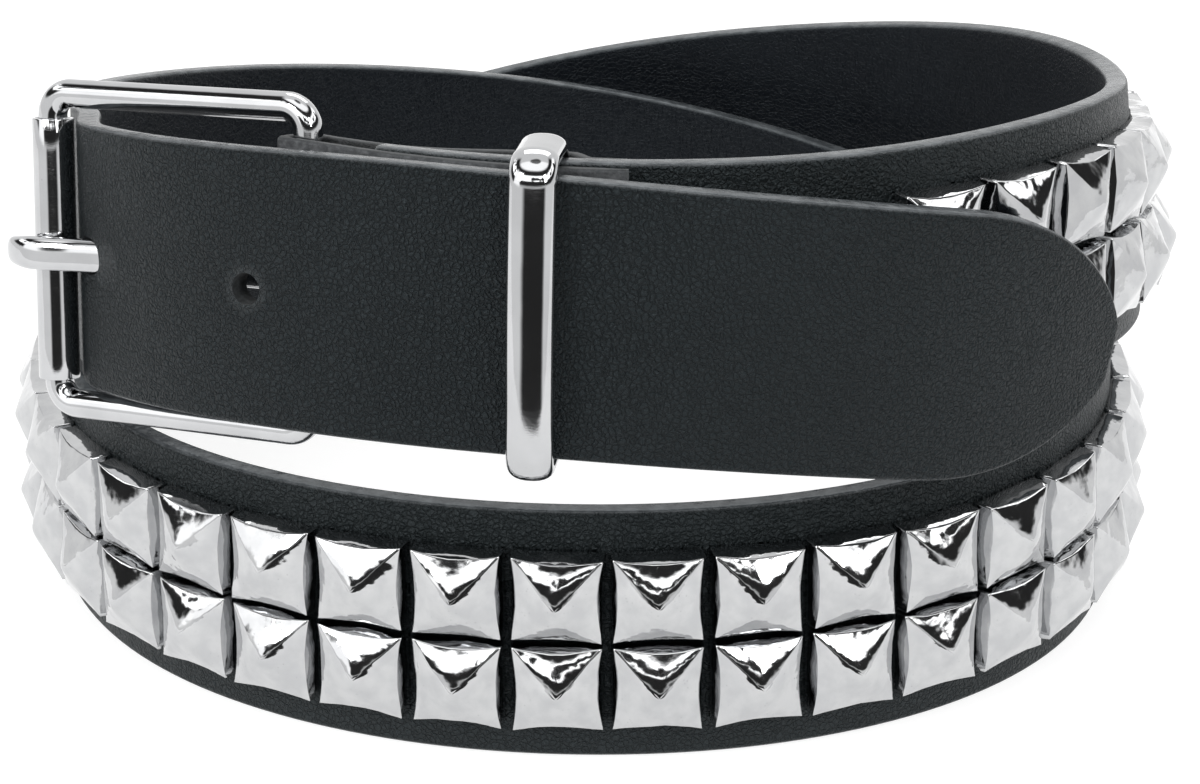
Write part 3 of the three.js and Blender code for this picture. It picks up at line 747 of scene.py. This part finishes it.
def stud_tree():
    """Geometry nodes that seat a stud on each point, each a little askew and pressed."""
    tree = bpy.data.node_groups.new("row_of_studs", "GeometryNodeTree")
    sockets = (
        ("Seats", "INPUT", "NodeSocketGeometry"),
        ("Stud", "INPUT", "NodeSocketObject"),
        ("Tilt", "INPUT", "NodeSocketFloat"),
        ("Press", "INPUT", "NodeSocketFloat"),
        ("Seed", "INPUT", "NodeSocketInt"),
        ("Finish", "INPUT", "NodeSocketMaterial"),
        ("Row", "OUTPUT", "NodeSocketGeometry"),
    )
    for name, way_in, kind in sockets:
        tree.interface.new_socket(name, in_out=way_in, socket_type=kind)
    nodes = Nodes(tree)
    given = nodes.node("NodeGroupInput")
    vectors = {"data_type": "FLOAT_VECTOR"}
    out = nodes.node("GeometryNodeInputNamedAttribute", vectors, {"Name": "out"})
    along = nodes.node("GeometryNodeInputNamedAttribute", vectors, {"Name": "along"})
    axes = {"primary_axis": "Z", "secondary_axis": "X"}
    stand_up = nodes.node("FunctionNodeAxesToRotation", axes, (out, along))
    tilt = given.other("Tilt")
    low = nodes.node("ShaderNodeCombineXYZ", None, (tilt * -1, tilt * -1, tilt * -stud_twist))
    high = nodes.node("ShaderNodeCombineXYZ", None, (tilt, tilt, tilt * stud_twist))
    values = {"Min": low, "Max": high, "Seed": given.other("Seed")}
    wobble = nodes.node("FunctionNodeRandomValue", vectors, values)
    stud = nodes.node("GeometryNodeObjectInfo", None, {"Object": given.other("Stud")}, take="Geometry")
    values = {0: given, "Instance": stud, "Rotation": stand_up}
    seated = nodes.node("GeometryNodeInstanceOnPoints", None, values)
    turned = nodes.node("GeometryNodeRotateInstances", None, {"Instances": seated, "Rotation": wobble})
    real = nodes.node("GeometryNodeRealizeInstances", None, (turned,))
    place = nodes.node("GeometryNodeInputPosition")
    dents = nodes.noise(place, 210, 1).other("Color")
    centred = nodes.node("ShaderNodeVectorMath", {"operation": "SUBTRACT"}, (dents, (0.5, 0.5, 0.5)))
    values = {0: centred, "Scale": given.other("Press")}
    pushed = nodes.node("ShaderNodeVectorMath", {"operation": "SCALE"}, values)
    pressed = nodes.node("GeometryNodeSetPosition", None, {"Geometry": real, "Offset": pushed})
    values = {"Geometry": pressed, "Material": given.other("Finish")}
    done = nodes.node("GeometryNodeSetMaterial", None, values)
    tree.links.new(done.socket, tree.nodes.new("NodeGroupOutput").inputs[0])
    return tree


def stud_nickel():
    """Bright nickel plate over pressed sheet: soft waves, a cloudy tint and a few pits."""
    finish = Finish("stud_nickel", metallic=1.0)
    place = finish.where()
    cloud = finish.noise(place, 300, 3)
    tint = finish.mixed(cloud.rise(0.3, 0.7), (0.5, 0.505, 0.515), (0.57, 0.575, 0.58))
    pits = finish.cells(place, 1300).rise(0.16, 0.06) * finish.noise(place, 330, 2).rise(0.5, 0.64)
    finish.put("Base Color", finish.mixed(pits * 0.5, tint, (0.3, 0.31, 0.32)))
    finish.put("Roughness", 0.045 + cloud * 0.05 + pits * 0.14)
    wave = finish.bump(finish.noise(place, 260, 2), 0.0011, 0.16)
    finish.put("Normal", finish.bump(finish.noise(place, 2600, 2) + pits * 1.2, 0.00003, 0.12, wave))
    return finish.material


nickel = stud_nickel()
stud = shape("stud", stud_mesh(), nickel, crease=180)
row_tree = stud_tree()
for row, across, seed in (("upper", row_pitch / 2, 7), ("lower", -row_pitch / 2, 23)):
    piece = bpy.data.objects.new("studs_" + row, stud_seats(across))
    bpy.context.scene.collection.objects.link(piece)
    step = piece.modifiers.new("studs", "NODES")
    step.node_group = row_tree
    inputs = {"Stud": stud, "Tilt": stud_tilt, "Press": stud_press, "Seed": seed, "Finish": nickel}
    for socket in row_tree.interface.items_tree:
        if socket.in_out == "INPUT" and socket.name in inputs:
            step[socket.identifier] = inputs[socket.name]
    applied(piece)
    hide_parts("stud_row_" + row)
    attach(piece, "root")
bpy.data.objects.remove(stud)

# Chape: a thinner tab of the same leather folded round the heel bar, slotted for the prong and riveted
# to both faces of the strap. Its inner leg bulges over the keeper's back bar.
chape_length = 0.045
chape_inset = 0.0004
chape_edge = 0.0005  # rounding of its long edges
chape_spans = 10
chape_skive = 0.45  # share of its thickness that is left at its ends
skive_length = 0.005
leg_fall = 0.003  # in which the inner leg comes down from the keeper
leg_stations = 60
fold_stations = 16
slot_length = 0.0086
keeper_place = 0.0336
keeper_width = 0.0064
keeper_thickness = 0.0026
keeper_start = keeper_place - keeper_width / 2 - seat_gap
keeper_end = keeper_place + keeper_width / 2 + seat_gap


def leg_bulge(distance):
    """How far the inner leg stands off the strap, over the keeper's back bar."""
    rising = ease(distance, strap_setback, keeper_start)
    falling = ease(distance, keeper_end, keeper_end + leg_fall)
    return (keeper_thickness + 2 * seat_gap) * rising * (1 - falling)


def chape_place(x):
    """A place on the strap that turns square to the heel bar in the fold."""
    place = place_at(max(x, 0))
    share = ease(x, 0, strap_setback)
    across = buckle_across.lerp(place.across, share).normalized()
    place.forward = (place.forward - place.forward.dot(across) * across).normalized()
    place.out, place.across = place.forward.cross(across), across
    if x < 0:
        place.middle = place.middle + x * place.forward
    return place


def chape_line():
    """The middle of the leather as (along, out) pairs: outer leg, fold and inner leg."""
    fold = bar_diameter / 2 + seat_gap + chape_leg / 2
    flat = strap_thickness / 2 + seat_gap + chape_leg / 2

    def lift(x):
        return max(flat, fold - (fold - flat) * x / strap_setback)

    stops = [chape_length * i / leg_stations for i in range(leg_stations + 1)]
    line = [Vector((x, lift(x))) for x in reversed(stops)]
    for i in range(1, fold_stations):
        angle = math.pi / 2 + math.pi * i / fold_stations
        line.append(Vector((fold * math.cos(angle), fold * math.sin(angle))))
    return line + [Vector((x, -lift(x) - leg_bulge(x))) for x in stops]


def chape_mesh():
    line = chape_line()
    rings, side = [], []
    for i, at in enumerate(line):
        run = (line[min(i + 1, len(line) - 1)] - line[max(i - 1, 0)]).normalized()
        left = min(i, len(line) - 1 - i) * chape_length / leg_stations
        thick = chape_leg * (chape_skive + (1 - chape_skive) * ease(left, 0, skive_length))
        rounding = min(chape_edge, thick * 0.45)
        section = edge_section(thick / 2, strap_width / 2 - chape_inset, rounding, chape_spans)
        ring = []
        for out, across in section:
            spot = at + Vector((-run.y, run.x)) * out
            ring.append(chape_place(spot.x).beside(spot.y, across))
        rings.append(ring)
        side += [(out / thick + 0.5, across) for out, across in section]
    return skin("chape", rings, {"side": side})


def chape_leather():
    """Grain outside, where the legs show it, and pale rough flesh on the side against the strap."""
    finish = Finish("chape_leather", specular_ior_level=0.4)
    place = finish.where()
    out, _, _ = finish.parts(finish.where("side"))
    shown = out.rise(0.86, 0.98)
    flesh = out.rise(0.14, 0.02)
    pebbles = grain(finish, place, 2300)
    fibre = finish.noise(place, 1100, 5, 0.7)
    face = finish.mixed(pebbles.rise(0.95, 0.5) * 0.6, (0.014, 0.0165, 0.018), (0.006, 0.007, 0.0075))
    rough_side = finish.mixed(fibre.rise(0.35, 0.7), (0.045, 0.048, 0.052), (0.11, 0.115, 0.12))
    border = finish.mixed(fibre.rise(0.3, 0.75), (0.018, 0.021, 0.023), (0.045, 0.05, 0.053))
    finish.put("Base Color", finish.mixed(flesh, finish.mixed(shown, border, face), rough_side))
    finish.put("Roughness", 0.5 + fibre * 0.12 + flesh * 0.25)
    relief = shown * pebbles + (1 - shown) * fibre * 1.4
    finish.put("Normal", finish.bump(relief, 0.00018, 0.6))
    return finish.material


tab_leather = chape_leather()
chape = shape("chape_tab", chape_mesh(), tab_leather)


def slot_mesh():
    """Room for the prong's eye through the fold and both legs, narrower at its closed end."""
    fold = chape_place(0)
    past = bar_diameter + 2 * chape_leg
    half = prong_width / 2 + 2 * seat_gap
    rings = []
    for reach, wide in ((-past, half), (slot_length * 0.8, half), (slot_length, half / 2)):
        middle = heel.middle + reach * fold.forward
        corners = ((-past, -wide), (past, -wide), (past, wide), (-past, wide))
        rings.append([middle + out * fold.out + across * fold.across for out, across in corners])
    return skin("slot", rings)


cut(chape, shape("cutter", slot_mesh(), tab_leather))
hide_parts("buckle_chape")
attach(chape, "root")

# Buckle frame: one round steel bar bent to a rounded rectangle, its ends butted and welded in the
# heel bar, then polished and chromed.
frame_play = 0.0014
frame_corner = 0.0033
frame_half_height = strap_width / 2 + frame_play + bar_diameter / 2


def ring_path(half_along, half_across, corner, flats, spans):
    """A rounded rectangle as (along, across) points with their outward directions."""

    def corner_point(quarter, share):
        angle = math.pi / 2 * (quarter + share)
        way_out = Vector((math.cos(angle), math.sin(angle)))
        along = (half_along - corner) * (1 if quarter % 4 in (0, 3) else -1)
        across = (half_across - corner) * (1 if quarter % 4 < 2 else -1)
        return Vector((along, across)) + corner * way_out, way_out

    path = []
    for quarter in range(4):
        path += [corner_point(quarter, i / flats) for i in range(flats + 1)]
        start = path[-1][0]
        stop, way_out = corner_point(quarter + 1, 0)
        path += [(start.lerp(stop, i / spans), way_out) for i in range(1, spans)]
    return path


def ring_mesh(name, middle, axes, path, section):
    """A bar's section carried round a path that lies in the first two axes."""
    along, across, out = axes
    rings = []
    for at, way_out in path:
        ring = []
        for off, depth in section(at, way_out):
            spot = at + off * way_out
            ring.append(middle + spot.x * along + spot.y * across + depth * out)
        rings.append(ring)
    return skin(name, rings, closed=True)


def round_bar(at, way_out, sides=28):
    angles = (2 * math.pi * k / sides for k in range(sides))
    radius = bar_diameter / 2
    return [(radius * math.cos(angle), radius * math.sin(angle)) for angle in angles]


def chrome(name, colour=(0.56, 0.565, 0.575), wear=1.0):
    """Polished plate: faint waves and hairline rubbing, a few pits."""
    finish = Finish(name, metallic=1.0)
    place = finish.where()
    cloud = finish.noise(place, 130, 3)
    stretched = finish.node("ShaderNodeMapping", None, {"Vector": place, "Scale": (1.0, 1.0, 9.0)})
    hair = finish.noise(stretched, 900, 3, 0.6)
    pits = finish.cells(place, 900).rise(0.13, 0.05) * finish.noise(place, 210, 2).rise(0.56, 0.68)
    dull = tuple(c * 0.9 for c in colour)
    tint = finish.mixed(cloud.rise(0.3, 0.7), dull, colour)
    finish.put("Base Color", finish.mixed(pits * 0.5, tint, (0.22, 0.23, 0.24)))
    finish.put("Roughness", 0.045 + cloud * 0.03 + hair.rise(0.45, 0.8) * 0.06 * wear + pits * 0.15)
    wave = finish.bump(finish.noise(place, 75, 2), 0.0016, 0.1)
    finish.put("Normal", finish.bump(hair * 0.5 + pits, 0.00003, 0.12 * wear, wave))
    return finish.material


buckle_middle = (heel.middle + roller_middle) / 2
buckle_path = ring_path(frame_length / 2, frame_half_height, frame_corner, flats=14, spans=10)
buckle_axes = (buckle_along, buckle_across, buckle_out)
frame_mesh = ring_mesh("frame", buckle_middle, buckle_axes, buckle_path, round_bar)
buckle_chrome = chrome("buckle_chrome")
buckle_frame = shape("buckle_ring", frame_mesh, buckle_chrome, crease=60)
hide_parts("buckle_frame")
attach(buckle_frame, "root")

# Roller: thin sheet rolled round the frame's front bar, its edges meeting in a seam at the back.
roller_wall = 0.0006
roller_play = 0.0003
roller_seam = 7  # degrees that it stays open
roller_edge = 0.00018  # rounding of its rims
roller_steps = 72
roller_spans = 8


def roller_mesh():
    half = frame_half_height - frame_corner - roller_play
    outer = roller_diameter / 2
    inner = outer - roller_wall
    soft = roller_edge
    rim = [(inner, soft), (inner + soft, 0), (outer - soft, 0)]
    rim += [(outer - soft * 0.3, soft * 0.3), (outer, soft)]
    section = [(radius, height - half) for radius, height in rim]
    section += [(outer, -half + 2 * half * i / roller_spans) for i in range(1, roller_spans)]
    section += [(radius, half - height) for radius, height in reversed(rim)]
    rings = []
    for i in range(roller_steps + 1):
        angle = math.radians(-90 + roller_seam / 2 + (360 - roller_seam) * i / roller_steps)
        spoke = math.cos(angle) * buckle_along + math.sin(angle) * buckle_out
        rings.append([roller_middle + r * spoke + h * buckle_across for r, h in section])
    return skin("roller", rings)


roller = shape("roller_sheet", roller_mesh(), chrome("roller_chrome", wear=1.6), crease=30)
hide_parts("buckle_roller")
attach(roller, "root")

# Prong: a flattened chromed bar, bent to an eye round the heel bar and down over the roller.
prong_eye = 0.0015  # thickness of the eye's wall
eye_play = 0.0001
eye_edge = 0.0004
eye_steps = 48


def prong_eye_mesh():
    radius = bar_diameter / 2 + eye_play + prong_eye / 2
    wall = edge_section(prong_eye / 2, prong_width / 2, eye_edge, spans=4)
    rings = []
    for i in range(eye_steps):
        angle = 2 * math.pi * i / eye_steps
        spoke = math.cos(angle) * buckle_along + math.sin(angle) * buckle_out
        rings.append([heel.middle + (radius + out) * spoke + across * buckle_across for out, across in wall])
    return skin("eye", rings, closed=True)


prong_mesh = joined("prong", [prong_bar(0), prong_eye_mesh()])
prong = shape("prong_bar", prong_mesh, buckle_chrome, crease=50)
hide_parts("buckle_prong")
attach(prong, "root")

# Keeper: a cast loop with a domed, polished outside that holds the tip end down on the strap.
keeper_play = 0.0006
keeper_corner = 0.002
keeper_crown = 0.0013  # by which its front bar stands out in the middle
keeper_brow = 0.16  # share of its thickness at which the dome starts
keeper_spots = 14
keeper_foot = ((0.0002, 0.46), (0.00005, 0.4), (0, 0.3))  # (height, share of the width) of its flat inside
keeper_search = 0.0005


def keeper_box():
    """The keeper's middle and half sizes, round both ends of the strap."""
    here = place_at(keeper_place)
    stops = [roller_at + keeper_search * i for i in range(int((strap_end - roller_at) / keeper_search))]
    over = min(stops, key=lambda stop: abs((place_at(stop).middle - here.middle).dot(here.forward)))
    outs, acrosses = [], []
    for near in (keeper_place, over):
        for step in (-keeper_width / 2, 0, keeper_width / 2):
            place = place_at(near + step)
            for out in (-strap_thickness / 2, strap_thickness / 2):
                for across in (-strap_width / 2, strap_width / 2):
                    corner = place.beside(out, across) - here.middle
                    outs.append(corner.dot(here.out))
                    acrosses.append(corner.dot(here.across))
    low = Vector((min(outs) - seat_gap, min(acrosses) - keeper_play))
    high = Vector((max(outs) + seat_gap, max(acrosses) + keeper_play))
    return here, (low + high) / 2, (high - low) / 2


def keeper_bar(at, way_out):
    """The loop's section, domed outside and flat inside, as (out of the loop, along the strap) pairs."""
    dome = []
    for k in range(keeper_spots):
        angle = math.pi * (k + 0.5) / keeper_spots
        lift = keeper_thickness * (keeper_brow + (1 - keeper_brow) * math.sin(angle) ** 0.8)
        reach = math.copysign(abs(math.cos(angle)) ** 0.85, math.cos(angle))
        dome.append((lift, -keeper_width / 2 * reach))
    foot = [(height, keeper_width * share) for height, share in keeper_foot]
    return dome + foot + [(height, -reach) for height, reach in reversed(foot)]


here, keeper_middle, keeper_half = keeper_box()
keeper_path = []
for at, way_out in ring_path(keeper_half.x, keeper_half.y, keeper_corner, flats=12, spans=30):
    crown = keeper_crown * max(1 - (at.y / keeper_half.y) ** 2, 0) if at.x > 0 else 0
    keeper_path.append((at + Vector((crown, 0)), way_out))
keeper_centre = here.beside(keeper_middle.x, keeper_middle.y)
keeper_axes = (here.out, here.across, here.forward)
keeper_mesh = ring_mesh("keeper", keeper_centre, keeper_axes, keeper_path, keeper_bar)
keeper = shape("keeper_loop", keeper_mesh, buckle_chrome, crease=50)
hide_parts("keeper")
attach(keeper, "root")

# Rivets: a short nickel shank with a low round head on each leg of the chape.
rivet_shank = 0.0024
rivet_head = 0.0044
rivet_head_height = 0.0009
rivet_sides = 32
rivet_dome = ((1, 0), (1, 0.16), (0.97, 0.34), (0.88, 0.58), (0.7, 0.8), (0.42, 0.95), (0.12, 1))
rivet_places = (0.0155, chape_length - 0.0028)


def rivet_mesh(distance):
    """Two heads on one shank, each head a dome of (share of its radius, share of its height) points."""
    place = place_at(distance)
    half = rivet_head / 2
    raised = max(leg_bulge(distance + step) for step in (-half, 0, half))
    upper = strap_thickness / 2 + chape_leg + seat_gap
    lower = -upper - raised
    dome = [(radius * half, height * rivet_head_height) for radius, height in rivet_dome]
    profile = [(radius, upper + height) for radius, height in reversed(dome)]
    profile += [(rivet_shank / 2, upper), (rivet_shank / 2, lower)]
    profile += [(radius, lower - height) for radius, height in dome]
    rings = []
    for radius, height in profile:
        ring = []
        for k in range(rivet_sides):
            angle = 2 * math.pi * k / rivet_sides
            spoke = math.cos(angle) * place.forward + math.sin(angle) * place.across
            ring.append(place.middle + height * place.out + radius * spoke)
        rings.append(ring)
    return skin("rivet", rings)


rivet_nickel = chrome("rivet_nickel", (0.56, 0.565, 0.57), wear=2.0)
for number, distance in enumerate(rivet_places, start=1):
    rivet = shape(f"rivet_{number}", rivet_mesh(distance), rivet_nickel)
    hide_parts(f"chape_rivet_{number}")
    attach(rivet, "root")

# Floor and light: a plain white floor that ends in front of the belt, in a white room with a dark stretch
# low in front and a dark gallery above it, broken by soft panels. The plated metal shows all of it.
left, right, near, far = -2, 2, -0.23, 3
floor_mesh = bpy.data.meshes.new("floor")
floor_mesh.from_pydata([(left, near, 0), (right, near, 0), (right, far, 0), (left, far, 0)], [], [(0, 1, 2, 3)])
white, grey = (1, 1, 1, 1), (0.32, 0.32, 0.32, 1)
paper = {"base_color": grey, "roughness": 0.9, "emission_color": white, "emission_strength": 0.8}
floor_finish = Finish("floor_paper", **paper)
floor = shape("floor", floor_mesh, floor_finish.material)


def panel(name, place, size, power):
    """A soft rectangular lamp turned to the belt."""
    light = bpy.data.lights.new(name, "AREA")
    light.shape = "RECTANGLE"
    light.size, light.size_y = size
    light.energy = power
    lamp = bpy.data.objects.new(name, light)
    lamp.location = place
    lamp.rotation_euler = (Vector((0, 0, 0.05)) - Vector(place)).to_track_quat("-Z", "Y").to_euler()
    bpy.context.scene.collection.objects.link(lamp)


panel("left_panel", (-0.75, -0.75, 0.75), (0.34, 0.5), 4)
panel("right_panel", (0.55, -0.9, 0.7), (0.2, 0.45), 2.5)
panel("top_panel", (0.1, 0.8, 1.0), (0.9, 0.5), 3)

world = bpy.data.worlds.new("room")
world.use_nodes = True
bpy.context.scene.world = world
room = Nodes(world.node_tree)
facing = room.node("ShaderNodeTexCoord", take="Generated")
side, depth, height = room.parts(facing)

# front is 1 towards the camera and -1 away from it, height 1 straight up and 0 level.
front = 0 - depth / ((side * side + depth * depth) ** 0.5 + 0.001)
opening = front.rise(0.83, 0.93) * height.rise(0.2, 0.1)
left_wall = side.rise(-0.6, -0.7) * front.rise(0.2, 0.35)
gallery = front.rise(-0.75, -0.45) * height.rise(0.14, 0.24) * height.rise(0.88, 0.8) * (1 - left_wall)
zenith = height.rise(0.984, 0.992)
dark = opening.math("MAXIMUM", opening, gallery + zenith * 0.9)
band = height.rise(0.4, 0.45) * height.rise(0.7, 0.63) * gallery
panels = room.noise(facing, 5.2, 1).rise(0.42, 0.48) * band
above = height.rise(0.8, 0.86) * front.rise(-0.2, 0.1) + left_wall * height.rise(0.1, 0.2)
darkness, brightness, panel_glow, paper_white = 0.97, 0.8, 2.6, 1.02
glow = (1 - dark * darkness) * (1 + above * brightness) + panels * panel_glow
seen = room.node("ShaderNodeLightPath", take="Is Camera Ray")
background = world.node_tree.nodes["Background"]
background.inputs["Color"].default_value = white
world.node_tree.links.new((glow * (1 - seen) + seen * paper_white).socket, background.inputs["Strength"])
